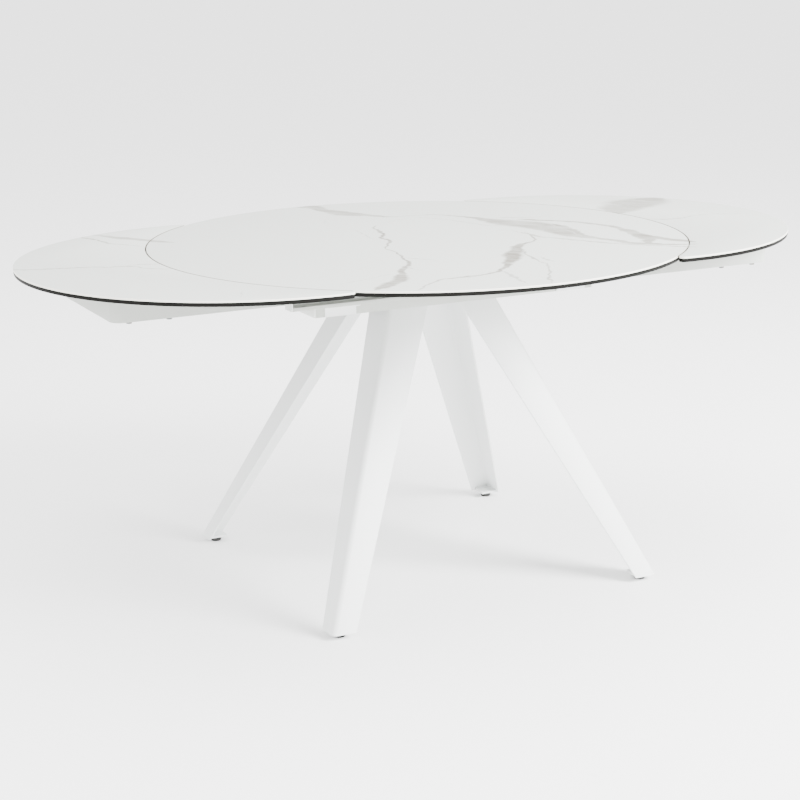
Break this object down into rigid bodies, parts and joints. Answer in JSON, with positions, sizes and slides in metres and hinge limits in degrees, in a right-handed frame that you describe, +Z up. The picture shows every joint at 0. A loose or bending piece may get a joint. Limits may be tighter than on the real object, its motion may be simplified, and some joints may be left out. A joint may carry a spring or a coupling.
{
  "type": "extendable dining table",
  "caption": "Round marbled table top with a crescent leaf at each end on pull-out trays, on a steel frame with splayed angle legs.",
  "frame": {"origin": "on the floor, under the centre of the round top", "axes": "+X along the length towards the right-hand leaf, +Y towards the rear, +Z up"},
  "size_m": [1.8, 1.2, 0.75],
  "materials": {
    "ceramic": "matt sintered ceramic with marble veins",
    "glass_edge": "black-backed tempered glass, ground edge",
    "white_coat": "fine-textured white powder coat",
    "zinc_steel": "bright zinc plate",
    "bronze": "turned bronze",
    "black_plastic": "moulded",
    "white_plastic": "moulded",
    "nylon": "moulded",
    "rubber": "matt"
  },
  "bodies": {
    "base": {"leg_front_left": "white_coat", "leg_front_right": "white_coat", "leg_rear_left": "white_coat", "leg_rear_right": "white_coat", "foot_plates": "white_coat", "glides": "black_plastic", "leg_heads": "white_coat", "leg_bolts": "zinc_steel", "mounting_plate": "white_coat", "beam_front": "white_coat", "beam_rear": "white_coat", "beam_caps": "white_plastic", "bearer_left": "white_coat", "bearer_right": "white_coat", "rail_front": "white_coat", "rail_rear": "white_coat", "rail_caps": "white_plastic", "rest_posts": "white_coat", "rest_pads": "rubber", "spindle": "zinc_steel", "thrust_washer": "bronze", "guide_sleeves": "zinc_steel"},
    "crank": {"crank": "zinc_steel", "lift_screw": "zinc_steel", "knee_pins": "zinc_steel"},
    "rod_left": {"rod_left": "zinc_steel"},
    "rod_right": {"rod_right": "zinc_steel"},
    "tray_left": {"leaf_left_ceramic": "ceramic", "leaf_left_glass": "glass_edge", "inner_bar_left": "white_coat", "outer_bar_left": "white_coat", "end_plate_left": "white_coat", "cross_member_left": "white_coat", "pin_bracket_left": "zinc_steel", "rod_pin_left": "zinc_steel", "runners_left": "nylon", "leaf_pads_left": "rubber", "leaf_bolts_left": "zinc_steel"},
    "tray_right": {"leaf_right_ceramic": "ceramic", "leaf_right_glass": "glass_edge", "inner_bar_right": "white_coat", "outer_bar_right": "white_coat", "end_plate_right": "white_coat", "cross_member_right": "white_coat", "pin_bracket_right": "zinc_steel", "rod_pin_right": "zinc_steel", "runners_right": "nylon", "leaf_pads_right": "rubber", "leaf_bolts_right": "zinc_steel"},
    "disc": {"disc_ceramic": "ceramic", "disc_glass": "glass_edge", "top_spider": "white_coat", "lift_nut": "bronze", "guide_pins": "zinc_steel"}
  },
  "joints": [
    {"name": "crank_turn", "type": "hinge", "parent": "base", "child": "crank", "pos_m": [0, 0, 0.68], "axis": [0, 0, 1], "range_deg": [0, 102.55]},
    {"name": "left_knee", "type": "hinge", "parent": "crank", "child": "rod_left", "pos_m": [-0.174, 0.06333, 0.689], "axis": [0, 0, 1], "range_deg": [-205.6, 0]},
    {"name": "right_knee", "type": "hinge", "parent": "crank", "child": "rod_right", "pos_m": [0.174, -0.06333, 0.689], "axis": [0, 0, 1], "range_deg": [-205.6, 0]},
    {"name": "left_tray", "type": "hinge", "parent": "rod_left", "child": "tray_left", "pos_m": [-0.348, 0, 0.697], "axis": [0, 0, 1], "range_deg": [0, 103.05]},
    {"name": "right_tray", "type": "hinge", "parent": "rod_right", "child": "tray_right", "pos_m": [0.348, 0, 0.697], "axis": [0, 0, 1], "range_deg": [0, 103.05]},
    {"name": "disc_lift", "type": "slide", "parent": "base", "child": "disc", "axis": [0, 0, 1], "range_m": [0, 0.03178]}
  ],
  "couplings": [
    {"joint": "left_knee", "follows": "crank_turn", "ratio": -2},
    {"joint": "right_knee", "follows": "crank_turn", "ratio": -2},
    {"joint": "left_tray", "follows": "crank_turn", "ratio": 1},
    {"joint": "right_tray", "follows": "crank_turn", "ratio": 1},
    {"joint": "disc_lift", "follows": "crank_turn", "m_per_rad": 0.017587}
  ]
}
